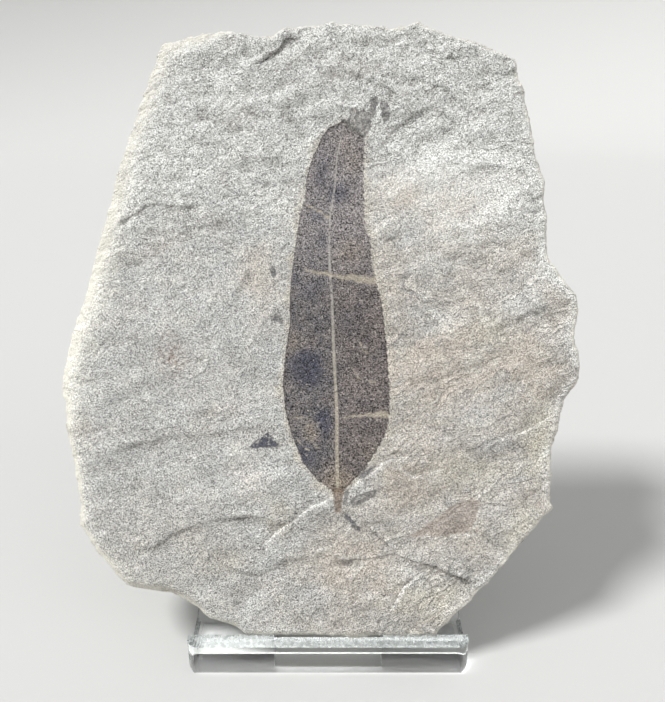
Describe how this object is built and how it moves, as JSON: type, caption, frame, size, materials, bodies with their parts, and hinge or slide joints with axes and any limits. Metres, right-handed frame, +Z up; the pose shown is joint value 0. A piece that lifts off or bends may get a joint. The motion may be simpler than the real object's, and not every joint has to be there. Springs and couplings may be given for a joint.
{
  "type": "fossil leaf plate",
  "caption": "Split rock slab with a dark leaf compression on its face, leaning on a small clear display stand with a front lip and a rear leg.",
  "frame": {"origin": "on the table, in the middle of the flat strip under the front lip", "axes": "+X to the right across the lip, +Y to the back away from the viewer, +Z up"},
  "size_m": [0.1411, 0.0744, 0.1637],
  "materials": {
    "rock": "matt, fine sandy grain",
    "clear_acrylic": "clear and polished, frosted saw-cut edges"
  },
  "bodies": {
    "root": {"fossil_slab": "rock", "display_stand": "clear_acrylic"}
  },
  "joints": []
}
